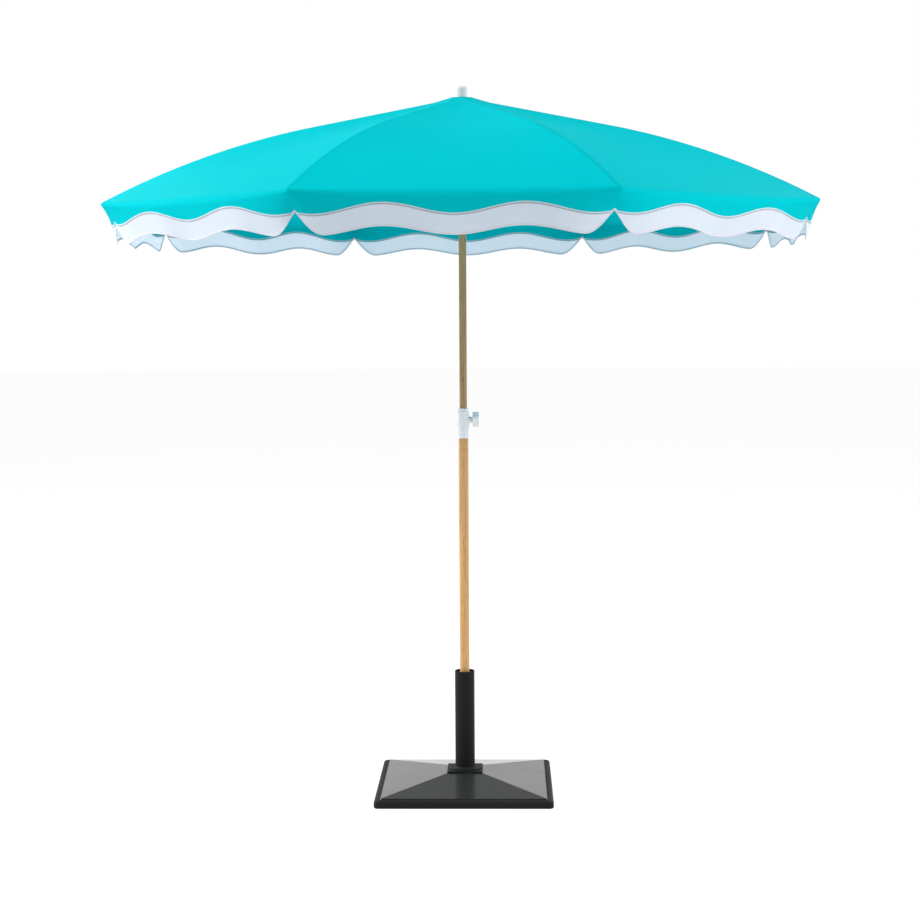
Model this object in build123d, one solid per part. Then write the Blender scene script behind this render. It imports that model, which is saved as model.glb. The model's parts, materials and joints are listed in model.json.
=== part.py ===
"""Beach umbrella on a weighted square base: eight ribs and struts that fold with a runner,
a telescoping pole with a clamp collar, and a pole that swivels in, and lifts out of, its sleeve.

Millimetres, +Z up. The origin is the centre of the base on the ground. The -Y side is the front:
one canopy panel is centred on it, so the ribs stand 22.5 degrees to either side of each main axis.
"""
from build123d import *
import os
from math import atan2, cos, degrees, hypot, pi, radians, sin, tan

# --- driving dimensions -------------------------------------------------------------------
PANELS = 8                      # canopy panels, and as many ribs
STEP = 360 / PANELS             # degrees from one rib to the next
HALF = STEP / 2
FIRST_PANEL = -90.0             # azimuth of panel 1, the front one
TIP_R = 1100.0                  # canopy radius at a rib tip
RIM_Z = 1797.0                  # about the height of the canopy's rim

CROWN_R, CROWN_Z = 30.0, 2124.0  # where the canopy's straight slope starts
STRAIGHT_R = 470.0              # the canopy is a straight slope out to here, then an arc
TOP_SLOPE = 12.3                # degrees, the straight slope
RIM_SLOPE = 28.0                # degrees, the slope at the rim
CLOTH = 1.1                     # cloth thickness of the solids
SEAM_GAP = 0.2                  # half of the gap between neighbouring cloth solids

VALANCE_LEAN = 16.0             # degrees inwards from vertical
VALANCE_MEAN = 105.5            # mean depth of the scalloped edge under the rim
SCALLOP = 11.5                  # amplitude of the scallops
SCALLOP_PITCH = 0.86            # one scallop, as a share of the half panel
NOTCH_DEPTH = 54.0              # depth of the valance where two panels meet at a rib
NOTCH_IN, NOTCH_OUT = 0.81, 0.95  # shares of the half panel between which the edge turns up

PIVOT_R, HUB_PIVOT_Z = 30.0, 2113.0   # rib pivots on the hub; the runner's pivots share the radius
ARM = 440.0                     # hub pivot to rib bracket, and the length of a strut
ROD_R = 2.5                     # rib and strut rods
ROD_DROP = 5.0                  # rib axis under the canopy's outer surface
ROOT_R = 110.0                  # the rib joins the canopy's slope here
EYE_R, EYE_T = 4.0, 4.0         # flat eyes on ribs and struts
SLOT_W = 2 * ROD_R + 0.8        # slots in the hub and the runner
RING_R = 1.0                    # wire ring through the rib eyes
LUG_T = 3.0                     # bracket lug under a rib
LUG_DROP = 9.0                  # rib axis to bracket pivot

BASE_SIDE, LIP_H, CORNER_R = 540.0, 25.0, 16.0
LIP_ROUND, LIP_FOOT_ROUND, PANEL_CORNER_R = 9.0, 3.0, 2.0
BASE_STEP_IN, BASE_STEP_H = 18.0, 3.5
PLINTH, PLINTH_Z = 110.0, 58.0
FOOT_R, FOOT_H, FOOT_SHOW = 20.0, 5.0, 2.0
FOOT_AT = 215.0
SLEEVE_R, SLEEVE_WALL = 30.5, 2.0
SLEEVE_LOW, SLEEVE_TOP = 26.0, 370.0
FLANGE_R, FLANGE_TOP = 49.5, 67.5
REDUCER_TOP = 332.0
FLOOR_T = 4.0

LOW_POLE_R, LOW_POLE_BORE, LOW_POLE_TOP = 15.0, 12.0, 1170.0
TOP_POLE_R, TOP_POLE_BORE, TOP_POLE_LOW, TOP_POLE_TOP = 11.5, 10.0, 795.0, 2115.0
RUNNING = 0.08                  # radial clearance of a running fit
COLLAR_LOW, COLLAR_TOP, COLLAR_R = 1094.0, 1186.0, 17.2
KNOB_Z, KNOB_R, KNOB_IN, KNOB_OUT = 1150.0, 24.5, 28.5, 48.0
STUD_R = 3.0
HUB_LOW, HUB_TOP, HUB_CORE_R, HUB_R = 2099.0, 2120.0, 25.0, 37.0
CAP_FLAT_R, CAP_R, CAP_TOP = 34.0, 92.0, 2129.5
FINIAL_LOW, FINIAL_TOP, FINIAL_R, FINIAL_ROUND = 2129.6, 2163.0, 18.75, 8.5


# --- canopy outline -----------------------------------------------------------------------
ARC_R = (TIP_R - STRAIGHT_R) / (sin(radians(RIM_SLOPE)) - sin(radians(TOP_SLOPE)))
KNEE_Z = CROWN_Z - (STRAIGHT_R - CROWN_R) * tan(radians(TOP_SLOPE))
MID = cos(radians(HALF))        # a panel's middle radius over its rib radius


def slope_at(r):
    """Downward slope of the canopy along a rib, in degrees."""
    if r <= STRAIGHT_R:
        return TOP_SLOPE
    return degrees(atan2(*arc_turn(r)))


def arc_turn(r):
    """Sine and cosine of the slope on the arc."""
    s = sin(radians(TOP_SLOPE)) + (r - STRAIGHT_R) / ARC_R
    return s, (1 - s * s) ** 0.5


def canopy_z(r):
    """Height of the canopy's outer surface above a rib at radius r."""
    if r <= STRAIGHT_R:
        return CROWN_Z - (r - CROWN_R) * tan(radians(TOP_SLOPE))
    return KNEE_Z - ARC_R * (cos(radians(TOP_SLOPE)) - arc_turn(r)[1])


def rod_point(r):
    """Point of a rib's axis, a fixed distance under the canopy at radius r."""
    a = radians(slope_at(r))
    return r - ROD_DROP * sin(a), canopy_z(r) - ROD_DROP * cos(a)


def bracket_pivot():
    """Rib bracket pivot: ARM from the hub pivot, LUG_DROP under the rib's axis."""
    low, high = ROOT_R, STRAIGHT_R
    for _ in range(60):
        r = (low + high) / 2
        x, z = rod_point(r)
        a = radians(TOP_SLOPE)
        px, pz = x - LUG_DROP * sin(a), z - LUG_DROP * cos(a)
        if hypot(px - PIVOT_R, pz - HUB_PIVOT_Z) < ARM:
            low = r
        else:
            high = r
    return (x, z), (px, pz)


RIM_Z_TRUE = canopy_z(TIP_R)
BRACKET_ROD, BRACKET = bracket_pivot()
STRUT_SLOPE = degrees(atan2(HUB_PIVOT_Z - BRACKET[1], BRACKET[0] - PIVOT_R))
RUNNER_PIVOT_Z = HUB_PIVOT_Z - 2 * ARM * sin(radians(STRUT_SLOPE))


# --- small helpers ------------------------------------------------------------------------
def tube(outer, inner, low, high):
    """Vertical tube on the pole's axis."""
    return Pos(0, 0, (low + high) / 2) * (
        Cylinder(outer, high - low) - Cylinder(inner, high - low + 2))


def rod_z(radius, low, high):
    """Vertical round bar on the pole's axis."""
    return Pos(0, 0, (low + high) / 2) * Cylinder(radius, high - low)


def bar_y(x, z, radius, width):
    """Round bar along Y, centred on the plane of a rib."""
    return Pos(x, 0, z) * Rot(90, 0, 0) * Cylinder(radius, width)


def bar_x(z, radius, x_low, x_high):
    """Round bar along X at height z."""
    return Pos((x_low + x_high) / 2, 0, z) * Rot(0, 90, 0) * Cylinder(radius, x_high - x_low)


def profile_xz(points, width, y=0.0):
    """Plate of the given outline in the X-Z plane, centred on y."""
    face = Plane.XZ * make_face(Polyline(*points, close=True))
    return Pos(0, y, 0) * extrude(face, width / 2, both=True)


def spin_profile(points):
    """Solid of revolution from an outline of (radius, height) points."""
    face = Plane.XZ * make_face(Polyline(*points, close=True))
    return revolve(face, Axis.Z)


def save(name, shape):
    """Write one node."""
    solids = shape.solids()
    out = solids[0] if len(solids) == 1 else Compound(children=list(solids))
    export_step(out, f"parts/{name}.step")


def save_round(name, shape, first_azimuth):
    """Write PANELS copies of a shape made at azimuth 0, turned about the pole."""
    for k in range(PANELS):
        save(f"{name}_{k + 1}", Rot(0, 0, first_azimuth + k * STEP) * shape)


# --- base ---------------------------------------------------------------------------------
def base_body():
    """Cast base: a rounded lip, a small step, and a low pyramid up to the plinth."""
    lip = Pos(0, 0, (FOOT_SHOW + LIP_H) / 2) * Box(BASE_SIDE, BASE_SIDE, LIP_H - FOOT_SHOW)
    lip = fillet(lip.edges().filter_by(Axis.Z), CORNER_R)
    lip = fillet(lip.edges().group_by(Axis.Z)[-1], LIP_ROUND)
    lip = fillet(lip.edges().group_by(Axis.Z)[0], LIP_FOOT_ROUND)
    side = BASE_SIDE - 2 * BASE_STEP_IN
    inner, crown = side - 4, PLINTH + 3
    low = Plane.XY.offset(LIP_H - 0.5) * RectangleRounded(side, side, PANEL_CORNER_R)
    mid = Plane.XY.offset(LIP_H + BASE_STEP_H) * RectangleRounded(inner, inner, PANEL_CORNER_R)
    top = Plane.XY.offset(PLINTH_Z) * RectangleRounded(crown, crown, PANEL_CORNER_R)
    body = lip + loft([low, mid]) + loft([mid, top])
    body -= rod_z(SLEEVE_R + 0.02, SLEEVE_LOW - FLOOR_T, PLINTH_Z + 5)
    pocket = Cylinder(FOOT_R + 0.2, FOOT_H - FOOT_SHOW)
    for x in (-FOOT_AT, FOOT_AT):
        for y in (-FOOT_AT, FOOT_AT):
            body -= Pos(x, y, (FOOT_SHOW + FOOT_H) / 2) * pocket
    return body


def base_feet():
    """Four rubber feet in pockets under the base."""
    foot = Cylinder(FOOT_R, FOOT_H)
    foot = fillet(foot.edges().group_by(Axis.Z)[0], 0.8)
    spots = [(x, y) for x in (-FOOT_AT, FOOT_AT) for y in (-FOOT_AT, FOOT_AT)]
    return Compound(children=[Pos(x, y, FOOT_H / 2) * foot for x, y in spots])


def sleeve_flange():
    """Square plinth with a raised ring round the sleeve."""
    plate = Pos(0, 0, PLINTH_Z + 2.5) * Box(PLINTH, PLINTH, 5)
    plate = fillet(plate.edges().filter_by(Axis.Z), 5)
    plate = chamfer(plate.edges().group_by(Axis.Z)[-1], 1.5)
    ring = spin_profile([
        (0, PLINTH_Z + 4), (FLANGE_R, PLINTH_Z + 4), (FLANGE_R, FLANGE_TOP - 2),
        (FLANGE_R - 2, FLANGE_TOP), (SLEEVE_R + 5, FLANGE_TOP), (SLEEVE_R + 2.5, FLANGE_TOP + 3),
        (0, FLANGE_TOP + 3)])
    return plate + ring - rod_z(SLEEVE_R + 0.02, PLINTH_Z - 5, FLANGE_TOP + 10)


def sleeve_tube():
    """Steel sleeve that takes the pole, with a rolled rim."""
    body = tube(SLEEVE_R, SLEEVE_R - SLEEVE_WALL, SLEEVE_LOW, SLEEVE_TOP)
    return fillet(body.edges().group_by(Axis.Z)[-1], 0.8)


# --- poles --------------------------------------------------------------------------------
def reducer_insert():
    """Plastic tube that fills the sleeve round the lower pole and turns with it."""
    body = tube(SLEEVE_R - SLEEVE_WALL - 0.06, LOW_POLE_R + RUNNING, SLEEVE_LOW + 0.3, REDUCER_TOP)
    return chamfer(body.edges().group_by(Axis.Z)[-1], 1.2)


def lower_pole():
    """Lower pole tube, with a hole in its wall for the clamp stud."""
    body = tube(LOW_POLE_R, LOW_POLE_BORE, SLEEVE_LOW + 6, LOW_POLE_TOP)
    return body - bar_x(KNOB_Z, STUD_R + 0.5, 5, 20)


def pole_foot():
    """Plug in the bottom end of the lower pole."""
    flange = rod_z(LOW_POLE_R - 0.1, SLEEVE_LOW + 2, SLEEVE_LOW + 6)
    plug = rod_z(LOW_POLE_BORE, SLEEVE_LOW + 6, SLEEVE_LOW + 32)
    return chamfer((flange + plug).edges().group_by(Axis.Z)[0], 1.5)


def upper_pole():
    """Upper pole tube."""
    return tube(TOP_POLE_R, TOP_POLE_BORE, TOP_POLE_LOW, TOP_POLE_TOP)


def upper_pole_plug():
    """Guide plug at the upper pole's lower end, running in the lower pole."""
    guide = rod_z(LOW_POLE_BORE - RUNNING, TOP_POLE_LOW - 12, TOP_POLE_LOW)
    return guide + rod_z(TOP_POLE_BORE, TOP_POLE_LOW, TOP_POLE_LOW + 22)


def height_collar():
    """Clamp collar at the top of the lower pole, with its boss towards +X."""
    neck, ring = COLLAR_R - 0.9, COLLAR_R + 0.8
    outline = [
        (0, COLLAR_LOW), (neck, COLLAR_LOW), (neck, COLLAR_LOW + 6), (ring, COLLAR_LOW + 7.5),
        (ring, COLLAR_LOW + 13), (COLLAR_R, COLLAR_LOW + 15), (COLLAR_R, COLLAR_TOP - 18),
        (ring, COLLAR_TOP - 16), (ring, COLLAR_TOP - 10), (neck, COLLAR_TOP - 8.5),
        (neck, COLLAR_TOP - 1.5), (neck - 1.5, COLLAR_TOP), (0, COLLAR_TOP)]
    boss_root = Plane(origin=(0, 0, KNOB_Z), x_dir=(0, 1, 0), z_dir=(1, 0, 0))
    boss = loft([boss_root.offset(12) * Circle(12.0), boss_root.offset(KNOB_IN - 0.6) * Circle(8.6)])
    body = spin_profile(outline) + boss
    body -= rod_z(LOW_POLE_R, COLLAR_LOW - 1, LOW_POLE_TOP)
    body -= rod_z(TOP_POLE_R + RUNNING, LOW_POLE_TOP - 1, COLLAR_TOP + 1)
    body -= bar_x(KNOB_Z, STUD_R + 0.3, 0, KNOB_IN + 2)
    return body - bar_x(KNOB_Z, 5.5, 17.0, 25.0)


def knob_nut():
    """Brass nut moulded into the collar's boss."""
    return bar_x(KNOB_Z, 5.48, 17.0, 25.0) - bar_x(KNOB_Z, STUD_R + RUNNING, 10, 30)


def knob_stud():
    """Clamp stud, from the upper pole's wall out into the knob."""
    return bar_x(KNOB_Z, STUD_R, TOP_POLE_R + 0.15, KNOB_OUT - 6)


def height_knob():
    """Five-lobed clamp knob."""
    lobe_r = 8.5
    head = bar_x(KNOB_Z, KNOB_R - 4.5, KNOB_IN, KNOB_OUT - 0.7)
    lobe = chamfer(Cylinder(lobe_r, KNOB_OUT - KNOB_IN).edges(), 1.5)
    for k in range(5):
        a = radians(90 + k * 72)
        y, z = (KNOB_R - lobe_r) * cos(a), (KNOB_R - lobe_r) * sin(a)
        head += Pos((KNOB_IN + KNOB_OUT) / 2, y, KNOB_Z + z) * Rot(0, 90, 0) * lobe
    return head - bar_x(KNOB_Z, STUD_R, KNOB_IN - 2, KNOB_OUT - 6)


# --- crown and runner ---------------------------------------------------------------------
def slots(outer, low, high):
    """Radial slots, one for each rib, open outwards, upwards and downwards."""
    length = outer - HUB_CORE_R + 6
    cut = Pos(HUB_CORE_R + length / 2, 0, (low + high) / 2) * Box(length, SLOT_W, high - low + 2)
    return [Rot(0, 0, FIRST_PANEL + HALF + k * STEP) * cut for k in range(PANELS)]


def crown_hub():
    """Crown hub on the upper pole's end, with a slot for each rib eye."""
    body = spin_profile([
        (0, HUB_LOW - 14), (15.5, HUB_LOW - 14), (17.5, HUB_LOW), (HUB_R - 3, HUB_LOW),
        (HUB_R, HUB_LOW + 3), (HUB_R, HUB_TOP - 2), (HUB_R - 2, HUB_TOP), (0, HUB_TOP)])
    body -= rod_z(TOP_POLE_R, HUB_LOW - 20, TOP_POLE_TOP)
    for cut in slots(HUB_R, HUB_LOW, HUB_TOP):
        body -= cut
    body -= Pos(0, 0, HUB_PIVOT_Z) * Torus(PIVOT_R, RING_R + 0.03)
    return body - rod_z(4.0, TOP_POLE_TOP - 1, HUB_TOP + 1)


def hub_pin_ring():
    """Wire ring that the rib eyes turn on."""
    return Pos(0, 0, HUB_PIVOT_Z) * Torus(PIVOT_R, RING_R)


def runner():
    """Runner: a slotted head for the strut ends over a grip barrel."""
    low, high = RUNNER_PIVOT_Z - 7, RUNNER_PIVOT_Z + 7
    body = spin_profile([
        (0, low - 30), (17.5, low - 30), (18.5, low - 28.5), (18.5, low - 24), (16, low - 22),
        (16, low - 8), (20, low), (HUB_R - 2, low), (HUB_R, low + 2), (HUB_R, high - 2),
        (HUB_R - 2, high), (20, high), (16, high + 5), (0, high + 5)])
    body -= rod_z(TOP_POLE_R + RUNNING, low - 40, high + 10)
    for cut in slots(HUB_R, low, high):
        body -= cut
    return body


def crown_cap():
    """Round cloth cap over the crown: flat under the finial, then sloping to the panels."""
    edge = canopy_z(CAP_R) + 0.4
    return spin_profile([
        (4.3, CAP_TOP), (CAP_FLAT_R, CAP_TOP), (CAP_R, edge + CLOTH), (CAP_R, edge),
        (CAP_FLAT_R, CAP_TOP - CLOTH), (4.3, CAP_TOP - CLOTH)])


def finial():
    """Rounded plastic finial with a stem into the hub."""
    top = rod_z(FINIAL_R, FINIAL_LOW, FINIAL_TOP)
    top = fillet(top.edges().group_by(Axis.Z)[-1], FINIAL_ROUND)
    top = chamfer(top.edges().group_by(Axis.Z)[0], 0.8)
    return top + rod_z(3.97, TOP_POLE_TOP + 0.2, FINIAL_LOW + 1)


# --- ribs and struts, made at azimuth 0 ---------------------------------------------------
def rib():
    """Rib rod with its hub eye and the lug that carries the strut."""
    start = (PIVOT_R + EYE_R - 1, HUB_PIVOT_Z - 0.5)
    root, knee, tip = rod_point(ROOT_R), rod_point(STRAIGHT_R), rod_point(TIP_R - 5)
    straight = FilletPolyline(start, root, knee, radius=150)
    bend = TangentArc(knee, tip, tangent=straight % 1)
    path = Plane.XZ * Wire([*straight.edges(), *bend.edges()])
    rod = sweep(Plane(origin=path @ 0, z_dir=path % 0) * Circle(ROD_R), path=path)
    eye = bar_y(PIVOT_R, HUB_PIVOT_Z, EYE_R, EYE_T)
    hole = bar_y(PIVOT_R, HUB_PIVOT_Z, RING_R + 0.25, EYE_T + 4)
    a = radians(TOP_SLOPE)
    half = 5.0
    (x, z), (px, pz) = BRACKET_ROD, BRACKET
    lug = profile_xz([
        (x - 2.2 * half * cos(a), z + 2.2 * half * sin(a)),
        (x + 2.2 * half * cos(a), z - 2.2 * half * sin(a)),
        (px + 0.8 * half * cos(a), pz - 0.8 * half * sin(a)),
        (px - 0.8 * half * cos(a), pz + 0.8 * half * sin(a))], LUG_T)
    lug += bar_y(px, pz, 4.0, LUG_T)
    return rod + lug + eye - hole - bar_y(px, pz, 1.4, LUG_T + 4)


def rib_tip():
    """Plastic cap on the rib's outer end."""
    x, z = rod_point(TIP_R - 5)
    a = radians(RIM_SLOPE)
    inner = (x - 16 * cos(a), z + 16 * sin(a))
    frame = Plane(origin=(inner[0], 0, inner[1]), z_dir=(cos(a), 0, -sin(a)))
    cap = frame * Pos(0, 0, 9) * Cylinder(ROD_R + 0.9, 18)
    return cap - frame * Pos(0, 0, 7.9) * Cylinder(ROD_R + 0.3, 17)


def strut():
    """Strut: a fork with its pin at the rib, a rod, and a flat eye at the runner."""
    px, pz = BRACKET
    qx, qz = PIVOT_R, RUNNER_PIVOT_Z
    ux, uz = (qx - px) / ARM, (qz - pz) / ARM
    frame = Plane(origin=(px + 12 * ux, 0, pz + 12 * uz), z_dir=(ux, 0, uz))
    body = frame * Pos(0, 0, (ARM - 15) / 2) * Cylinder(ROD_R, ARM - 15)
    ear_in, ear_t = LUG_T / 2 + 0.4, 1.8
    for side in (-1, 1):
        y = side * (ear_in + ear_t / 2)
        ear = Pos(0, y, 0) * bar_y(px, pz, 3.6, ear_t)
        ear += profile_xz([
            (px - 3.2 * uz, pz + 3.2 * ux), (px + 3.2 * uz, pz - 3.2 * ux),
            (px + 17 * ux + 2.4 * uz, pz + 17 * uz - 2.4 * ux),
            (px + 17 * ux - 2.4 * uz, pz + 17 * uz + 2.4 * ux)], ear_t, y)
        body += ear
    body += bar_y(px, pz, 1.25, 2 * (ear_in + ear_t) + 0.6)
    eye = bar_y(qx, qz, EYE_R, EYE_T)
    return body + eye


# --- cloth, made at azimuth 0 -------------------------------------------------------------
def wedge(low, high):
    """Prism between two rib planes, each moved in by half of the seam gap."""
    reach = TIP_R + 200
    x0 = SEAM_GAP / sin(radians(HALF))
    y1 = (reach - x0) * tan(radians(HALF))
    face = Plane.XY.offset(low) * make_face(Polyline((x0, 0), (reach, y1), (reach, -y1), close=True))
    return extrude(face, high - low)


def canopy_panel():
    """One canopy panel: straight across from rib to rib, bent as the ribs are."""
    def outline(drop):
        a, b = radians(TOP_SLOPE), radians(RIM_SLOPE)
        start = ((CROWN_R + 2) * MID - drop * sin(a), canopy_z(CROWN_R + 2) - drop * cos(a))
        knee = (STRAIGHT_R * MID - drop * sin(a), KNEE_Z - drop * cos(a))
        middle_r = (STRAIGHT_R + TIP_R) / 2
        m = radians(slope_at(middle_r))
        middle = (middle_r * MID - drop * sin(m), canopy_z(middle_r) - drop * cos(m))
        rim = (TIP_R * MID - drop * sin(b), RIM_Z_TRUE - drop * cos(b))
        return start, knee, middle, rim
    s0, k0, m0, r0 = outline(0)
    s1, k1, m1, r1 = outline(CLOTH)
    edges = [Line(s0, k0), ThreePointArc(k0, m0, r0), Line(r0, r1),
             ThreePointArc(r1, m1, k1), Line(k1, s1), Line(s1, s0)]
    face = Plane.XZ * make_face(Wire(edges))
    sheet = extrude(face, TIP_R * 0.5, both=True)
    return sheet & wedge(RIM_Z - 50, CROWN_Z + 50)


def valance_depth(u):
    """Depth of the valance's lower edge at u, from -1 at one rib to 1 at the other."""
    depth = VALANCE_MEAN + SCALLOP * cos(2 * pi * u / SCALLOP_PITCH)
    turn = min(1.0, max(0.0, (abs(u) - NOTCH_IN) / (NOTCH_OUT - NOTCH_IN)))
    return depth - (depth - NOTCH_DEPTH) * turn * turn * (3 - 2 * turn)


def valance():
    """One valance: a leaning strip that hangs from the rim, with a scalloped lower edge."""
    lean = radians(VALANCE_LEAN)
    half_w = TIP_R * sin(radians(HALF))
    count = 96
    hang = Plane(origin=(TIP_R * MID - 0.4, 0, RIM_Z_TRUE - CLOTH - 0.6), x_dir=(0, 1, 0),
                 z_dir=(cos(lean), 0, -sin(lean)))
    edge = [(u * half_w, -valance_depth(u) / cos(lean))
            for u in (-1 + 2 * i / count for i in range(count + 1))]
    face = hang * make_face(Polyline((-half_w, 0), *edge, (half_w, 0), close=True))
    return extrude(face, -CLOTH) & wedge(RIM_Z - 200, RIM_Z + 50)


NODES = {
    "base_body": base_body, "base_feet": base_feet, "sleeve_flange": sleeve_flange,
    "sleeve_tube": sleeve_tube, "reducer_insert": reducer_insert, "lower_pole": lower_pole,
    "pole_foot": pole_foot, "upper_pole": upper_pole, "upper_pole_plug": upper_pole_plug,
    "height_collar": height_collar, "knob_nut": knob_nut, "knob_stud": knob_stud,
    "height_knob": height_knob, "crown_hub": crown_hub, "hub_pin_ring": hub_pin_ring,
    "runner": runner, "crown_cap": crown_cap, "finial": finial,
}
for node_name, make in NODES.items():
    save(node_name, make())
save("sleeve_floor", rod_z(SLEEVE_R - 0.02, SLEEVE_LOW - FLOOR_T, SLEEVE_LOW))

RIB_AZIMUTH = FIRST_PANEL - HALF
save_round("rib", rib(), RIB_AZIMUTH)
save_round("rib_tip", rib_tip(), RIB_AZIMUTH)
save_round("strut", strut(), RIB_AZIMUTH)
save_round("canopy_panel", canopy_panel(), FIRST_PANEL)
save_round("valance", valance(), FIRST_PANEL)

print(f"runner pivot z {RUNNER_PIVOT_Z:.2f}, strut slope {STRUT_SLOPE:.3f}, rim z {RIM_Z_TRUE:.2f}")
print(f"bracket pivot {BRACKET[0]:.2f}, {BRACKET[1]:.2f}")
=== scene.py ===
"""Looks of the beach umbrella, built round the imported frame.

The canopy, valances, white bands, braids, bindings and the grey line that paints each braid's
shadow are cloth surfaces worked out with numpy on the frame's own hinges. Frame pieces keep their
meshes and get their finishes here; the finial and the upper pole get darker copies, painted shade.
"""

import json
import logging
import math
from dataclasses import dataclass, field
from enum import Enum
from typing import Any, Callable, Sequence

import bpy
import numpy as np
from mathutils import Matrix, Vector


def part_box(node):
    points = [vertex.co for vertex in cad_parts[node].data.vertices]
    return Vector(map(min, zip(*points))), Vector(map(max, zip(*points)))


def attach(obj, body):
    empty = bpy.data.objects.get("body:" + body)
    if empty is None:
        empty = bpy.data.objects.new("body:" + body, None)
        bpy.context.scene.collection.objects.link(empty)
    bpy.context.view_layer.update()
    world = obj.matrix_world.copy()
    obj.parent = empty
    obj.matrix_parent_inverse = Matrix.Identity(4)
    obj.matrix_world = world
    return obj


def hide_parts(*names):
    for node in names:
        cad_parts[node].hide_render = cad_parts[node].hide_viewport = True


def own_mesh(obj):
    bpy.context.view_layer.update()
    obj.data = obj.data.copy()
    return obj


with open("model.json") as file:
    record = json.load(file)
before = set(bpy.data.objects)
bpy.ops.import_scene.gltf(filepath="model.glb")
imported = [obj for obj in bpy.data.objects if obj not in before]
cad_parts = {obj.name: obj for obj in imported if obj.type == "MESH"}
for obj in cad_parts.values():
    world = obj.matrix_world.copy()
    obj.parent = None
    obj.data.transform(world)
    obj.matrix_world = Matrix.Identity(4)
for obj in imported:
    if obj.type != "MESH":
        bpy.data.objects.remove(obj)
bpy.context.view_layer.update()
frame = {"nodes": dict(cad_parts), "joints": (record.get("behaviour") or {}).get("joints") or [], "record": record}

log = logging.getLogger("umbrella")
Colour = tuple[float, float, float]


# --- shader graph ------------------------------------------------------------------------------
class Sock:
    """One node output, with Python's operators as Math nodes."""

    def __init__(self, graph: "Graph", socket: Any) -> None:
        """Wraps an output socket of the graph."""
        self.graph, self.socket = graph, socket

    def __add__(self, other: Any) -> "Sock":
        """Sum."""
        return self.graph.math("ADD", self, other)

    def __radd__(self, other: Any) -> "Sock":
        """Reflected sum."""
        return self.graph.math("ADD", other, self)

    def __sub__(self, other: Any) -> "Sock":
        """Difference."""
        return self.graph.math("SUBTRACT", self, other)

    def __mul__(self, other: Any) -> "Sock":
        """Product."""
        return self.graph.math("MULTIPLY", self, other)

    def __lt__(self, other: Any) -> "Sock":
        """1 where less, else 0."""
        return self.graph.math("LESS_THAN", self, other)

    def __gt__(self, other: Any) -> "Sock":
        """1 where greater, else 0."""
        return self.graph.math("GREATER_THAN", self, other)


class Graph:
    """Node tree of one material."""

    def __init__(self, name: str) -> None:
        """Makes an empty material of that name with a Principled shader on its output."""
        self.material = bpy.data.materials.new(name)
        self.material.use_nodes = True
        self.tree = self.material.node_tree
        self.tree.nodes.clear()
        self.output = self.tree.nodes.new("ShaderNodeOutputMaterial")
        self.shader = self.tree.nodes.new("ShaderNodeBsdfPrincipled")
        self.tree.links.new(self.shader.outputs[0], self.output.inputs["Surface"])

    def node(self, kind: str, settings: dict[str, Any] | None = None,
             out: str | int = 0, **inputs: Any) -> Sock:
        """Adds a node.

        Args:
            kind: the node's type, without its ShaderNode prefix.
            settings: attributes set first, and a ramp's stops under "stops".
            out: the output wanted.
            inputs: values or links by socket name, with _ for a space, or by i and a number.
        Returns:
            The output.
        """
        made = self.tree.nodes.new("ShaderNode" + kind)
        for key, value in (settings or {}).items():
            if key == "stops":
                self._stops(made.color_ramp, value)
            else:
                setattr(made, key, value)
        for key, value in inputs.items():
            index = int(key[1:]) if key[0] == "i" and key[1:].isdigit() else key.replace("_", " ")
            self.plug(made.inputs[index], value)
        return Sock(self, made.outputs[out])

    def _stops(self, ramp: Any, stops: Sequence[tuple[float, Sequence[float]]]) -> None:
        """Fills a colour ramp with (place, colour) stops."""
        while len(ramp.elements) < len(stops):
            ramp.elements.new(0.5)
        for element, (place, colour) in zip(ramp.elements, stops):
            element.position, element.color = place, (*colour, 1)

    def plug(self, target: Any, value: Any) -> None:
        """Links a Sock to an input, or sets the input's value."""
        if isinstance(value, Sock):
            self.tree.links.new(value.socket, target)
        elif isinstance(value, tuple) and len(value) == 3 and target.type == "RGBA":
            target.default_value = (*value, 1)
        else:
            target.default_value = value

    def math(self, operation: str, *values: Any) -> Sock:
        """Math node on one to three values."""
        return self.node("Math", {"operation": operation},
                         **{f"i{i}": v for i, v in enumerate(values)})

    def mix(self, factor: Any, a: Any, b: Any) -> Sock:
        """Colour between a and b."""
        return self.node("Mix", {"data_type": "RGBA"}, out=2, i0=factor, i6=a, i7=b)

    def coords(self, kind: str = "Object") -> Sock:
        """Object or UV coordinates."""
        return self.node("TexCoord", out=kind)

    def split(self, vector: Sock) -> tuple[Sock, Sock, Sock]:
        """Components of a vector."""
        made = self.node("SeparateXYZ", Vector=vector)
        return tuple(Sock(self, made.socket.node.outputs[i]) for i in range(3))

    def noise(self, vector: Sock, scale: float, detail: float = 3.0) -> Sock:
        """Noise value at a scale."""
        return self.node("TexNoise", out=0, Vector=vector, Scale=scale, Detail=detail)

    def stretch(self, vector: Sock, scale: Sequence[float]) -> Sock:
        """Coordinates scaled along each axis."""
        return self.node("Mapping", Vector=vector, Scale=tuple(scale))

    def bump(self, height: Sock, distance: float, strength: float = 1.0) -> None:
        """Bumps the surface by a height field, in metres."""
        normal = self.node("Bump", Height=height, Distance=distance, Strength=strength)
        self.plug(self.shader.inputs["Normal"], normal)

    def put(self, **inputs: Any) -> None:
        """Sets or links the shader's sockets by name, with _ for a space."""
        for key, value in inputs.items():
            self.plug(self.shader.inputs[key.replace("_", " ")], value)

    def translucent(self, share: float, colour: Colour) -> None:
        """Lets a share of the light through the cloth."""
        glow = self.node("BsdfTranslucent", Color=colour)
        mixed = self.node("MixShader", i0=share, i1=Sock(self, self.shader.outputs[0]), i2=glow)
        self.tree.links.new(mixed.socket, self.output.inputs["Surface"])


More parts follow.
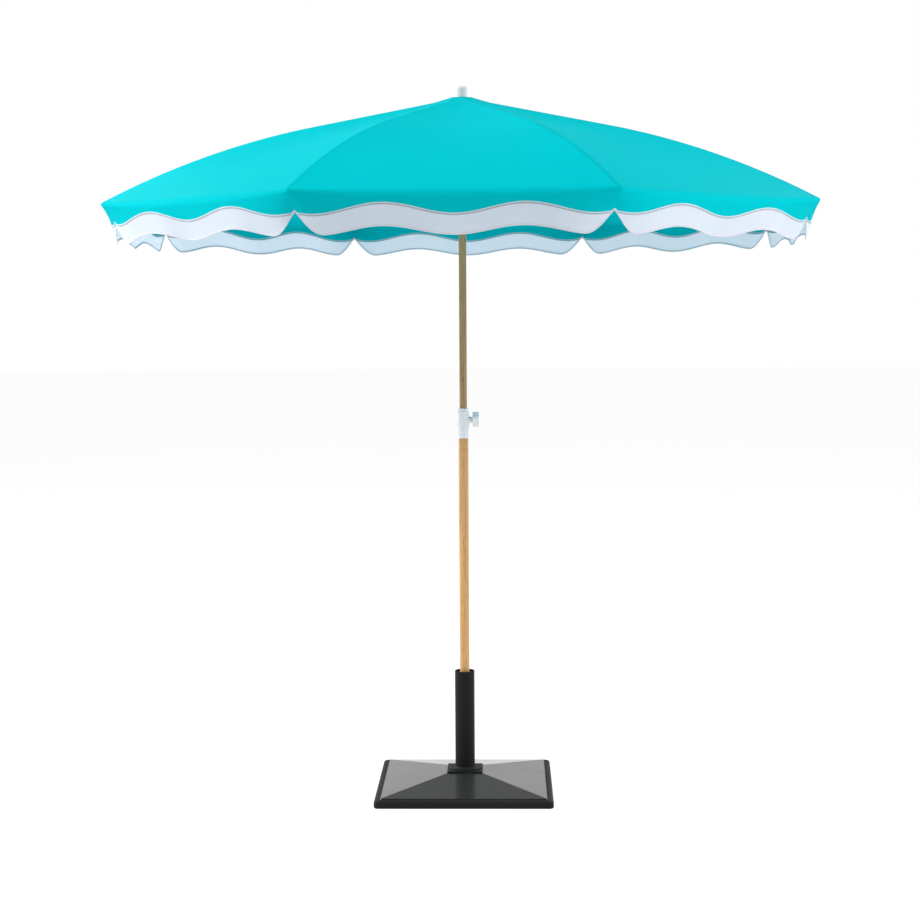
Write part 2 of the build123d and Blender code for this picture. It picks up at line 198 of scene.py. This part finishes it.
# --- finishes ----------------------------------------------------------------------------------
@dataclass(frozen=True)
class ClothFinish:
    """Plain woven polyester. Its UV map is in metres along the two yarn directions."""

    name: str
    colour: Colour
    shade: Colour
    through: Colour
    share: float = 0.3
    yarn: float = 0.0007
    stitched: bool = False
    stitch_pitch: float = 0.0042
    stitch_share: float = 0.62
    stitch_rows: tuple[float, float] = (0.0018, 0.0068)
    stitch_half: float = 0.0004

    def build(self) -> bpy.types.Material:
        """Weave bump, soft colour variation and, on seams, two rows of stitches."""
        g = Graph(self.name)
        uv = g.coords("UV")
        x, y, _ = g.split(uv)
        turn = 2 * math.pi / self.yarn
        weave = g.math("SINE", x * turn) * g.math("SINE", y * turn)
        cloud = g.noise(g.coords(), 3.5, 4)
        slub = g.noise(g.stretch(uv, (60, 900, 1)), 1.0, 2)
        factor = cloud * 0.55 + slub * 0.25 + weave * 0.06
        colour = g.mix(factor, self.shade, self.colour)
        height = weave * 0.5 + slub * 0.6
        if self.stitched:
            dash = g.math("FRACT", y * (1 / self.stitch_pitch)) < self.stitch_share
            first, second = (g.math("ABSOLUTE", x - at) < self.stitch_half for at in self.stitch_rows)
            stitch = dash * (first + second)
            colour = g.mix(stitch * 0.8, colour, self.shade)
            height = height + stitch * 2.0
        g.put(Base_Color=colour, Roughness=0.5 + slub * 0.2, Sheen_Weight=0.04,
              Sheen_Roughness=0.45, Sheen_Tint=(*self.colour, 1), Specular_IOR_Level=0.01)
        g.bump(height, 0.00018, 0.7)
        g.translucent(self.share, self.through)
        return g.material


@dataclass(frozen=True)
class PlasticFinish:
    """Moulded plastic with a faint orange-peel skin."""

    name: str
    colour: Colour
    worn: Colour
    rough: float = 0.38

    def build(self) -> bpy.types.Material:
        """Fine skin bump, and slight dulling in patches."""
        g = Graph(self.name)
        at = g.coords()
        patch = g.noise(at, 24, 5)
        peel = g.noise(at, 900, 2)
        g.put(Base_Color=g.mix(patch * 0.5, self.colour, self.worn),
              Roughness=self.rough + patch * 0.12, Specular_IOR_Level=0.5)
        g.bump(peel + patch * 0.4, 0.00012, 0.5)
        return g.material


@dataclass(frozen=True)
class WoodFilmFinish:
    """Wood-grain film on a steel tube, with its grain along the pole."""

    name: str
    light: Colour
    dark: Colour
    pore: Colour

    def build(self) -> bpy.types.Material:
        """Long streaks, broader bands of tone and short dark pores under a satin coat."""
        g = Graph(self.name)
        at = g.coords()
        bands = g.noise(g.stretch(at, (60, 60, 2.2)), 1.0, 4)
        streaks = g.noise(g.stretch(at, (420, 420, 6)), 1.0, 5)
        pores = g.noise(g.stretch(at, (900, 900, 45)), 1.0, 2)
        tone = g.node("ValToRGB", {"stops": [(0.32, self.dark), (0.5, self.light), (0.7, self.dark)]},
                      Fac=bands * 0.6 + streaks * 0.4)
        dark = (pores > 0.62) * 0.55
        g.put(Base_Color=g.mix(dark, tone, self.pore), Roughness=0.33 + streaks * 0.2,
              Coat_Weight=0.06, Coat_Roughness=0.25, Specular_IOR_Level=0.3)
        g.bump(streaks * 0.5 + pores * 0.3, 0.00008, 0.5)
        return g.material


@dataclass(frozen=True)
class ResinFinish:
    """Cast resin stone: a matt pebbled casting, polished on the faces above its lip."""

    name: str
    colour: Colour
    speck: Colour
    polished_above: float = 0.0255
    polish: float = 0.17

    def build(self) -> bpy.types.Material:
        """Pebbled bump and pale specks, under a polish that wears thin in clouds."""
        g = Graph(self.name)
        at = g.coords()
        _, _, z = g.split(at)
        pebble = g.noise(at, 420, 3)
        grain = g.noise(at, 1300, 2)
        cloud = g.noise(at, 9, 5)
        specks = (grain > 0.63) * 0.5
        coat = (z > self.polished_above) * (0.72 + pebble * 0.25 + cloud * 0.2)
        g.put(Base_Color=g.mix(specks + cloud * 0.2, self.colour, self.speck),
              Roughness=0.5 + pebble * 0.2, Specular_IOR_Level=0.12,
              Coat_Weight=g.math("MINIMUM", coat, 1.0), Coat_Roughness=self.polish, Coat_IOR=1.6)
        g.bump(pebble + grain * 0.35, 0.0005, 0.7)
        return g.material


@dataclass(frozen=True)
class MetalFinish:
    """Enamelled or bare metal."""

    name: str
    colour: Colour
    worn: Colour
    metallic: float = 0.0
    rough: float = 0.35
    coat: float = 0.0
    specular: float = 0.5

    def build(self) -> bpy.types.Material:
        """Brushed or sprayed skin with faint handling marks."""
        g = Graph(self.name)
        at = g.coords()
        marks = g.noise(g.stretch(at, (30, 30, 8)), 1.0, 6)
        skin = g.noise(at, 700, 2)
        g.put(Base_Color=g.mix(marks * 0.45, self.colour, self.worn), Metallic=self.metallic,
              Roughness=self.rough + marks * 0.15, Coat_Weight=self.coat, Coat_Roughness=0.25,
              Specular_IOR_Level=self.specular)
        g.bump(skin, 0.00008, 0.4)
        return g.material


class Finish(Enum):
    """The umbrella's finishes: one for each slot of the record, with a few tones of their own.
    The darker finial and upper pole copies are painted shade; the grey piping line is a painted shadow.
    """

    CANOPY = ClothFinish("canopy_cloth", (0.0, 0.66, 0.72), (0.0, 0.54, 0.60), (0.0, 0.50, 0.56))
    SEAM = ClothFinish("canopy_seam", (0.0, 0.62, 0.68), (0.0, 0.46, 0.51), (0.0, 0.52, 0.57),
                       share=0.25, stitched=True)
    BAND = ClothFinish("band_cloth", (0.83, 0.83, 0.88), (0.75, 0.76, 0.81), (0.90, 0.92, 0.98),
                       share=0.5)
    BINDING = ClothFinish("binding_cloth", (0.80, 0.81, 0.86), (0.60, 0.62, 0.68), (0.8, 0.8, 0.85),
                          share=0.15, yarn=0.0005)
    # Grey line just under the white piping at the band's top: a painted shadow of the piping.
    BRAID = ClothFinish("piping_painted_shadow", (0.60, 0.61, 0.66), (0.32, 0.33, 0.38), (0.6, 0.6, 0.62),
                        share=0.05, yarn=0.0016)
    WHITE_PLASTIC = PlasticFinish("white_plastic", (0.76, 0.75, 0.785), (0.68, 0.67, 0.70))
    # The finial is white plastic; this darker grey copy of it is painted shade.
    FINIAL_PLASTIC = PlasticFinish("finial_plastic_painted_shade", (0.55, 0.565, 0.59), (0.49, 0.50, 0.53), 0.5)
    BLACK_PLASTIC = PlasticFinish("black_plastic", (0.012, 0.012, 0.013), (0.03, 0.03, 0.03), 0.5)
    RUBBER = PlasticFinish("foot_rubber", (0.02, 0.02, 0.02), (0.045, 0.045, 0.045), 0.75)
    WOOD = WoodFilmFinish("pole_wood", (0.60, 0.345, 0.14), (0.42, 0.22, 0.08), (0.18, 0.09, 0.033))
    # Darker copy of the pole wood for the upper pole: painted shade of the canopy over it.
    UPPER_WOOD = WoodFilmFinish("upper_pole_wood_painted_shade", (0.42, 0.27, 0.13), (0.29, 0.175, 0.078),
                                (0.12, 0.07, 0.03))
    RESIN = ResinFinish("base_resin", (0.007, 0.007, 0.0072), (0.035, 0.035, 0.036))
    SLEEVE = MetalFinish("sleeve_black", (0.006, 0.006, 0.006), (0.012, 0.012, 0.013), 0.0, 0.5,
                         specular=0.16)
    RIB = MetalFinish("rib_paint", (0.72, 0.73, 0.74), (0.58, 0.58, 0.58), 0.0, 0.35, 0.3)
    STEEL = MetalFinish("bare_steel", (0.55, 0.55, 0.57), (0.40, 0.40, 0.41), 1.0, 0.32)
    BRASS = MetalFinish("brass_insert", (0.72, 0.53, 0.25), (0.5, 0.36, 0.16), 1.0, 0.3)


class Wardrobe:
    """Builds each finish once."""

    def __init__(self) -> None:
        """Starts empty."""
        self.made: dict[Finish, bpy.types.Material] = {}

    def get(self, finish: Finish) -> bpy.types.Material:
        """The material of a finish."""
        if finish not in self.made:
            self.made[finish] = finish.value.build()
        return self.made[finish]


# --- surfaces ----------------------------------------------------------------------------------
def grid_object(name: str, points: np.ndarray, uv: np.ndarray, material: bpy.types.Material,
                around: bool = False) -> bpy.types.Object:
    """Mesh on a grid of points.

    Args:
        name: the object's name.
        points: (rows, columns, 3) in metres.
        uv: (rows, columns, 2) in metres of cloth.
        material: its finish.
        around: whether the last column joins the first, as on a tube.
    Returns:
        The object, at the origin.
    """
    rows, cols = points.shape[:2]
    index = np.arange(rows * cols).reshape(rows, cols)
    if around:
        index = np.concatenate([index, index[:, :1]], axis=1)
    faces = np.stack([index[:-1, :-1], index[:-1, 1:], index[1:, 1:], index[1:, :-1]], axis=-1)
    mesh = bpy.data.meshes.new(name)
    mesh.from_pydata(points.reshape(-1, 3).tolist(), [], faces.reshape(-1, 4).tolist())
    corners = np.empty(len(mesh.loops), dtype=np.int32)
    mesh.loops.foreach_get("vertex_index", corners)
    layer = mesh.uv_layers.new(name="cloth")
    layer.data.foreach_set("uv", uv.reshape(-1, 2)[corners].astype(np.float32).ravel())
    mesh.polygons.foreach_set("use_smooth", np.ones(len(mesh.polygons), dtype=bool))
    mesh.materials.append(material)
    mesh.update()
    made = bpy.data.objects.new(name, mesh)
    bpy.context.scene.collection.objects.link(made)
    return made


def thicken(piece: bpy.types.Object, thickness: float) -> None:
    """Gives a sheet its thickness, inwards, and keeps its shading even up to the edge."""
    wall = piece.modifiers.new("thickness", "SOLIDIFY")
    wall.thickness, wall.offset = thickness, -1.0
    wall.use_even_offset = False
    even = piece.modifiers.new("even_shading", "WEIGHTED_NORMAL")
    even.weight, even.keep_sharp = 50, False


def run_lengths(points: np.ndarray, axis: int) -> np.ndarray:
    """Distance run along one axis of a grid of points, from its first row or column."""
    steps = np.linalg.norm(np.diff(points, axis=axis), axis=-1)
    zero = np.zeros_like(np.take(steps, [0], axis=axis))
    return np.concatenate([zero, np.cumsum(steps, axis=axis)], axis=axis)


@dataclass
class CanopyShape:
    """The canopy's outline in one panel's own frame: x out along its middle, y across, z up.

    A rib is straight at top_slope out to straight_r and then an arc to rim_slope at tip_r. Between
    two ribs the cloth dips by sag. Inside tent_r it is tented up to the crown's flat top over the
    hub. Lengths are in metres and angles in radians.
    """

    joints: dict[str, dict[str, Any]]
    half: float = math.radians(22.5)
    top_slope: float = math.radians(12.3)
    rim_slope: float = math.radians(28.0)
    crown_r: float = 0.030
    straight_r: float = 0.470
    sag: float = 0.017
    flat_r: float = 0.034
    under_patch: float = 0.0009
    gather_height: float = 0.0007
    gather_reach: float = 0.02
    gather_turn: float = 240.0
    tent_r: float = field(init=False)
    top_z: float = field(init=False)
    tip_r: float = field(init=False)
    rim_z: float = field(init=False)
    crown_z: float = field(init=False)

    def __post_init__(self) -> None:
        """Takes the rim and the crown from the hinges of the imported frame."""
        x, y, z = self.joints["valance_fold_1"]["pos_m"]
        self.tip_r = math.hypot(x, y) / math.cos(self.half)
        self.rim_z = z
        slope = math.tan(self.top_slope)
        self.crown_z = z + self._arc_drop(self.tip_r) + (self.straight_r - self.crown_r) * slope
        _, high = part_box("crown_cap")
        self.tent_r, self.top_z = high[0], high[2] - self.under_patch

    def _arc_radius(self) -> float:
        """Radius of the outer arc of a rib."""
        return (self.tip_r - self.straight_r) / (math.sin(self.rim_slope) - math.sin(self.top_slope))

    def _arc_drop(self, r: Any) -> Any:
        """Drop along the arc from straight_r to r."""
        s = math.sin(self.top_slope) + np.maximum(r - self.straight_r, 0) / self._arc_radius()
        return self._arc_radius() * (math.cos(self.top_slope) - np.sqrt(1 - s * s))

    def rib_span(self) -> float:
        """Straight distance between two neighbouring rib tips."""
        return 2 * self.tip_r * math.sin(self.half)

    def height(self, r: np.ndarray) -> np.ndarray:
        """Height of the cloth over a rib at radius r."""
        straight = np.minimum(r, self.straight_r) - self.crown_r
        return self.crown_z - straight * math.tan(self.top_slope) - self._arc_drop(r)

    def panel(self, u: np.ndarray, r: np.ndarray) -> np.ndarray:
        """Panel surface: u from -1 to 1 across, r the rib radius of the row.

        The dip is the sag times (1 - u squared), largest half way out. Fine gathers run in from
        the seams, and die out over gather_reach. The tent adds a rise that grows evenly
        from nothing at tent_r to the crown's flat top at flat_r.
        """
        run = (r - self.crown_r) / (self.tip_r - self.crown_r)
        dip = self.sag * (1 - u * u) * np.sin(np.pi * np.clip(run, 0, 1) ** 1.1)
        near = np.exp(-((1 - np.abs(u)) * r * math.sin(self.half) / self.gather_reach) ** 2)
        gather = (self.gather_height * near * (1 - near) * np.sin(r * self.gather_turn)
                  * np.sin(np.pi * np.clip(run, 0, 1)))
        x = r * math.cos(self.half) + 0 * u
        y = u * r * math.sin(self.half)
        share = np.clip((self.tent_r - np.hypot(x, y)) / (self.tent_r - self.flat_r), 0, 1)
        rise = (self.top_z - float(self.height(np.float64(self.flat_r)))) * share
        z = np.minimum(self.height(r) - dip + gather + rise, self.top_z)
        return np.stack([x, y, z], axis=-1)


@dataclass
class ValanceShape:
    """A valance in its panel's own frame: it rolls over the rim and hangs leaning inwards.

    Depths are under the rim, in metres. The band's top and the lower edge are cosine scallops
    of one pitch. Over the last notch_span before each rib the lower edge turns up to the notch
    as a quarter of a sine, steepest at the rib. The roll over the rim is tight at the ribs and
    wide in the middle.
    """

    canopy: CanopyShape
    index: int
    roll_rib: float = 0.009
    roll_middle: float = 0.024
    lean: float = math.radians(16.0)
    corner_pull: float = 0.026
    pitch: float = 0.86
    top_mean: float = 0.052
    top_swing: float = 0.014
    low_mean: float = 0.1055
    low_swing: float = 0.0115
    notch: float = 0.054
    notch_span: float = 0.20
    wave_height: float = 0.0035
    wave_depth: float = 0.11

    def band_top(self, u: np.ndarray) -> np.ndarray:
        """Depth of the scalloped seam between the canopy cloth and the white band."""
        depth = self.top_mean + self.top_swing * np.cos(2 * np.pi * u / self.pitch)
        return np.minimum(depth, self.low_edge(u) - 0.0006)

    def low_edge(self, u: np.ndarray) -> np.ndarray:
        """Depth of the lower edge: the notch, plus the rest of the scallop times a quarter sine."""
        depth = self.low_mean + self.low_swing * np.cos(2 * np.pi * u / self.pitch)
        to_rib = np.clip((1 - np.abs(u)) / self.notch_span, 0, 1)
        return self.notch + (depth - self.notch) * np.sin(np.pi / 2 * to_rib)

    def place(self, u: np.ndarray, depth: np.ndarray, out: float = 0.0) -> np.ndarray:
        """Point of the valance at u across and a depth under the rim, moved out by out.

        The cloth leaves the rim at the canopy's slope, turns down on a roll whose radius goes
        with 1 - u squared, and then leans inwards. Its corners are pulled in, and slow waves
        grow with the depth.
        """
        c = self.canopy
        start, end = c.rim_slope, math.pi / 2 + self.lean
        roll = self.roll_rib + (self.roll_middle - self.roll_rib) * (1 - u * u)
        rolled = roll * (math.cos(start) - math.cos(end))
        on_roll = np.minimum(depth, rolled)
        angle = np.arccos(np.clip(math.cos(start) - on_roll / roll, -1, 1))
        off = roll * (np.sin(angle) - math.sin(start))
        off = off - np.maximum(depth - rolled, 0) * math.tan(self.lean)
        share = depth / self.notch
        off = off - self.corner_pull * np.abs(u) ** 8 * np.clip(share, 0, 1.1)
        wave = np.sin(np.pi * (2.3 * u + 0.7 * self.index)) + 0.5 * np.sin(np.pi * (5.1 * u - self.index))
        grown = np.clip(depth / self.wave_depth, 0, 1) ** 1.5
        off = off + self.wave_height * grown * wave * (1 - u ** 6)
        x = c.tip_r * math.cos(c.half) + off
        y = u * x * math.tan(c.half)
        z = c.rim_z - depth
        return np.stack([x + out * math.cos(self.lean), y, z - out * math.sin(self.lean)], axis=-1)


@dataclass
class Gore:
    """One eighth of the cloth: canopy panel, seam, valance, white band, braid, its painted shadow and binding."""

    index: int
    canopy: CanopyShape
    wardrobe: Wardrobe
    columns: int = 64
    panel_rows: int = 72
    tent_rows: int = 18
    cloth: float = 0.0006
    keep: float = 0.12

    def __post_init__(self) -> None:
        """Finds the panel's azimuth from its hinge."""
        x, y, _ = self.canopy.joints[f"panel_fold_{self.index}"]["pos_m"]
        self.azimuth = math.atan2(y, x)
        self.valance = ValanceShape(self.canopy, self.index)

    def turned(self, points: np.ndarray) -> np.ndarray:
        """Turns points of the panel's own frame about the pole to their place."""
        c, s = math.cos(self.azimuth), math.sin(self.azimuth)
        x, y, z = points[..., 0], points[..., 1], points[..., 2]
        return np.stack([c * x - s * y, s * x + c * y, z], axis=-1)

    def dress(self, piece: bpy.types.Object, body: str) -> bpy.types.Object:
        """Rides a piece on a cloth body, with a mesh of its own."""
        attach(piece, f"{body}_{self.index}")
        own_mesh(piece)
        log.info("%s rides on %s_%d", piece.name, body, self.index)
        return piece

    def across(self, count: int, dense_ends: bool = False) -> np.ndarray:
        """Values of u from -1 to 1, bunched at the ends if asked."""
        even = np.linspace(-1, 1, count)
        return np.sin(even * math.pi / 2) if dense_ends else even

    def rows(self, start: float) -> np.ndarray:
        """Rib radii of a panel's rows, from start to the rim, closer together on the tent."""
        tent = 1.1 * self.canopy.tent_r
        return np.concatenate([np.linspace(start, tent, self.tent_rows)[:-1],
                               np.linspace(tent, self.canopy.tip_r, self.panel_rows)])

    def sheet(self, name: str, local: np.ndarray, finish: Finish, body: str,
              thickness: float) -> bpy.types.Object:
        """Makes a cloth sheet of a grid of local points, with its UV map in metres."""
        along, over = run_lengths(local, 0), run_lengths(local, 1)
        middle = over[:, over.shape[1] // 2][:, None]
        uv = np.stack([over - middle, along], axis=-1)
        piece = grid_object(f"{name}_{self.index}", self.turned(local), uv,
                            self.wardrobe.get(finish))
        thicken(piece, thickness)
        return self.dress(piece, body)

    def panel(self) -> bpy.types.Object:
        """The canopy panel, from under the crown patch to the rim."""
        u, r = np.meshgrid(self.across(self.columns + 1), self.rows(self.canopy.crown_r))
        local = self.canopy.panel(u, r)
        piece = self.sheet("canopy_cloth", local, Finish.CANOPY, "canopy_panel",
                           self.cloth)
        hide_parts(f"canopy_panel_{self.index}")
        width = self.canopy.rib_span()
        after = self.index % 8 + 1
        return piece

    def seam(self) -> bpy.types.Object:
        """The felled seam on the panel's later edge: a flat strip with two rows of stitches."""
        width, lift = 0.0085, 0.0007
        strip, r = np.meshgrid(np.linspace(0, width, 7), self.rows(self.canopy.crown_r + 0.003))
        edge = r * math.sin(self.canopy.half)
        local = self.canopy.panel(1 - strip / edge, r)
        crown = np.sin(np.pi * np.linspace(0, 1, 7)) ** 0.35
        local[..., 2] += lift * crown[None, :]
        uv = np.stack([strip, run_lengths(local, 0)], axis=-1)
        local, uv = local[:, ::-1], uv[:, ::-1]
        piece = grid_object(f"seam_{self.index}", self.turned(local), uv,
                            self.wardrobe.get(Finish.SEAM))
        thicken(piece, 0.0005)
        return self.dress(piece, "canopy_panel")

    def skirt(self) -> bpy.types.Object:
        """The valance's own cloth, from the rim down to the scalloped seam."""
        u, v = np.meshgrid(self.across(self.columns * 2 + 1, True), np.linspace(0, 1, 25))
        local = self.valance.place(u, self.valance.band_top(u) * v ** 1.3)
        piece = self.sheet("valance_cloth", local, Finish.CANOPY, "valance",
                           self.cloth)
        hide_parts(f"valance_{self.index}")
        width = self.canopy.rib_span()
        return piece

    def band(self) -> bpy.types.Object:
        """The white band with its braid, a grey line painting the braid's shadow, and its bound edge."""
        u, v = np.meshgrid(self.across(self.columns * 3 + 1, True), np.linspace(0, 1, 17))
        top, low = self.valance.band_top(u), self.valance.low_edge(u)
        local = self.valance.place(u, top + (low - top) * v, 0.0002)
        piece = self.sheet("white_band", local, Finish.BAND, "valance", self.cloth)
        extras = [
            self.cordlet("braid_upper", self.valance.band_top, -0.0024, 0.0015, 0.0010, Finish.BINDING),
            # Grey line under the seam, just below the white piping: the piping's painted shadow.
            self.cordlet("piping_shadow_line", self.valance.band_top, 0.0012, 0.0014, 0.0010, Finish.BRAID),
            self.cordlet("binding", self.valance.low_edge, -0.0022, 0.0027, 0.0010, Finish.BINDING),
        ]
        width = self.canopy.rib_span()
        return piece

    def cordlet(self, name: str, line: Callable[[np.ndarray], np.ndarray], shift: float,
                wide: float, thick: float, finish: Finish) -> bpy.types.Object:
        """A braid, binding or painted shadow line: an oval section carried along a scalloped line of the valance.

        Args:
            name: the piece's name.
            line: depth of the line as a function of u.
            shift: how far under the line it runs, in metres.
            wide: half width on the cloth.
            thick: half thickness out of the cloth.
            finish: its finish.
        Returns:
            The piece, riding on its valance.
        """
        u = self.across(self.columns * 3 + 1, True) * 0.9985
        path = self.valance.place(u, line(u) + shift)
        tangent = np.gradient(path, axis=0)
        tangent /= np.linalg.norm(tangent, axis=1, keepdims=True)
        out = np.array([math.cos(self.valance.lean), 0, -math.sin(self.valance.lean)])
        side = np.cross(tangent, out)
        side /= np.linalg.norm(side, axis=1, keepdims=True)
        turn = np.linspace(0, 2 * np.pi, 10, endpoint=False)
        ring = (np.cos(turn)[None, :, None] * side[:, None] * wide
                + np.sin(turn)[None, :, None] * out[None, None] * thick)
        local = path[:, None] + ring + out * 0.0006
        along = run_lengths(local, 0)
        uv = np.stack([np.broadcast_to(turn / (2 * np.pi) * 0.008, along.shape), along], axis=-1)
        piece = grid_object(f"{name}_{self.index}", self.turned(local), uv,
                            self.wardrobe.get(finish), around=True)
        return self.dress(piece, "valance")

    def build(self) -> None:
        """Makes every piece of the gore."""
        self.panel()
        self.seam()
        self.skirt()
        self.band()


@dataclass
class Crown:
    """Round cloth patch on the crown's flat top, under the finial."""

    canopy: CanopyShape
    wardrobe: Wardrobe
    inner: float = 0.0045
    overlap: float = 0.002
    droop: float = 0.0006
    cloth: float = 0.0006

    def build(self) -> None:
        """A disc whose edge turns down by droop times the fourth power of the way out."""
        _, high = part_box("crown_cap")
        outer = self.canopy.flat_r + self.overlap
        turn = np.linspace(0, 2 * np.pi, 96, endpoint=False)
        a, r = np.meshgrid(turn, np.linspace(outer, self.inner, 18))
        share = (r - self.inner) / (outer - self.inner)
        z = high[2] - self.droop * share ** 4
        points = np.stack([r * np.cos(a), r * np.sin(a), z], axis=-1)
        uv = np.stack([outer - r, a * outer], axis=-1)
        piece = grid_object("crown_patch", points, uv, self.wardrobe.get(Finish.SEAM), around=True)
        thicken(piece, self.cloth)
        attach(piece, "upper_pole")
        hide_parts("crown_cap")
        log.info("crown_patch rides on upper_pole")


@dataclass
class HardParts:
    """Frame pieces that keep their own meshes."""

    wardrobe: Wardrobe
    finishes: dict[str, Finish] = field(default_factory=lambda: {
        "base_resin": Finish.RESIN, "foot_rubber": Finish.RUBBER, "sleeve_black": Finish.SLEEVE,
        "black_plastic": Finish.BLACK_PLASTIC, "pole_wood": Finish.WOOD,
        "white_plastic": Finish.WHITE_PLASTIC, "rib_paint": Finish.RIB,
        "bare_steel": Finish.STEEL, "brass_insert": Finish.BRASS})
    # The finial and the upper pole get darker copies of their slot's finishes: painted shade.
    own: dict[str, Finish] = field(default_factory=lambda: {
        "finial": Finish.FINIAL_PLASTIC, "upper_pole": Finish.UPPER_WOOD})

    def build(self) -> None:
        """Gives the finial and the upper pole their darker copies, painted shade, and every other node that has a
        hard slot its slot's finish.
        """
        for part in frame["record"]["subparts"]:
            finish = self.own.get(part["node"], self.finishes.get(part["material_slot"]))
            if finish is None:
                continue
            node = frame["nodes"][part["node"]]
            for slot in node.material_slots:
                slot.link = "OBJECT"
                slot.material = self.wardrobe.get(finish)
            log.info("%s wears %s", part["node"], finish.name)


# --- studio ------------------------------------------------------------------------------------
@dataclass
class Studio:
    """Pale floor, white backdrop, four soft lights and the camera.

    The strongest light comes from the left.
    """

    distance: float = 5.878
    height: float = 1.499
    lens: float = 74.84
    pitch: float = math.radians(4.599)
    orbit: float = math.radians(1.178)
    pan: float = math.radians(0.108)
    roll: float = math.radians(-0.315)
    walls: float = 1.0
    ceiling: float = 0.32
    front: float = 0.3

    def build(self) -> None:
        """Makes the floor, the world, the lights and the camera."""
        self.floor()
        self.world()
        self.area("key", (-5.4, -0.8, 4.8), 2.6, 560)
        self.area("fill", (4.2, -2.6, 4.4), 3.4, 285)
        self.area("back_left", (-3.8, 4.2, 3.3), 2.0, 120)
        self.area("back_right", (3.8, 4.2, 3.3), 2.0, 150)
        self.camera()
        bpy.context.scene.view_settings.view_transform = "Standard"

    def floor(self) -> None:
        """A wide pale floor."""
        side = 40.0
        g = Graph("studio_floor")
        cloud = g.noise(g.coords(), 0.4, 2)
        g.put(Base_Color=g.mix(cloud, (0.19, 0.19, 0.195), (0.21, 0.21, 0.21)), Roughness=0.8,
              Emission_Color=(1.0, 1.0, 1.0), Emission_Strength=0.92, Specular_IOR_Level=0.0)
        grid = np.stack(np.meshgrid(np.linspace(-side, side, 3), np.linspace(-side, side, 3)), -1)
        points = np.concatenate([grid, np.zeros((3, 3, 1))], axis=-1)
        grid_object("studio_floor", points, grid, g.material)

    def world(self) -> None:
        """A white backdrop, dimmer towards the front and under the ceiling.

        The strength is the product of two smooth steps, one on the direction's height and one
        on how far it points to the back.
        """
        world = bpy.data.worlds.new("studio")
        bpy.context.scene.world = world
        world.use_nodes = True
        tree = world.node_tree
        background = tree.nodes["Background"]
        background.inputs["Color"].default_value = (1.0, 1.0, 1.0, 1)
        direction = tree.nodes.new("ShaderNodeTexCoord")
        parts = tree.nodes.new("ShaderNodeSeparateXYZ")
        tree.links.new(direction.outputs["Generated"], parts.inputs[0])
        strength = tree.nodes.new("ShaderNodeMath")
        strength.operation = "MULTIPLY"
        steps = (("Z", (0.27, 0.47, self.walls, self.ceiling)), ("Y", (-0.5, 0.6, self.front, 1.0)))
        for index, (part, limits) in enumerate(steps):
            fade = tree.nodes.new("ShaderNodeMapRange")
            fade.interpolation_type = "SMOOTHSTEP"
            for name, value in zip(("From Min", "From Max", "To Min", "To Max"), limits):
                fade.inputs[name].default_value = value
            tree.links.new(parts.outputs[part], fade.inputs["Value"])
            tree.links.new(fade.outputs["Result"], strength.inputs[index])
        tree.links.new(strength.outputs[0], background.inputs["Strength"])

    def area(self, name: str, place: tuple[float, float, float], size: float, power: float) -> None:
        """A square soft light aimed at the canopy."""
        data = bpy.data.lights.new(name, "AREA")
        data.size, data.energy = size, power
        light = bpy.data.objects.new(name, data)
        aim = np.array([0.0, 0.0, 1.4]) - np.array(place)
        light.rotation_euler = Vector(aim).to_track_quat("-Z", "Y").to_euler()
        light.location = place
        bpy.context.scene.collection.objects.link(light)

    def camera(self) -> None:
        """The camera, slightly above the middle and looking slightly down."""
        data = bpy.data.cameras.new("camera")
        data.lens, data.sensor_width = self.lens, 36.0
        camera = bpy.data.objects.new("camera", data)
        place = (self.distance * math.sin(self.orbit), -self.distance * math.cos(self.orbit), self.height)
        camera.matrix_world = (
            Matrix.Translation(place)
            @ Matrix.Rotation(self.orbit + self.pan, 4, "Z")
            @ Matrix.Rotation(math.pi / 2 - self.pitch, 4, "X")
            @ Matrix.Rotation(self.roll, 4, "Z"))
        bpy.context.scene.collection.objects.link(camera)
        bpy.context.scene.camera = camera


def main() -> None:
    """Builds every piece."""
    logging.basicConfig(level=logging.INFO, format="%(name)s: %(message)s")
    wardrobe = Wardrobe()
    joints = {joint["name"]: joint for joint in frame["joints"]}
    canopy = CanopyShape(joints)
    HardParts(wardrobe).build()
    for index in range(1, 9):
        Gore(index, canopy, wardrobe).build()
    Crown(canopy, wardrobe).build()
    Studio().build()


if __name__ == "__main__":
    main()
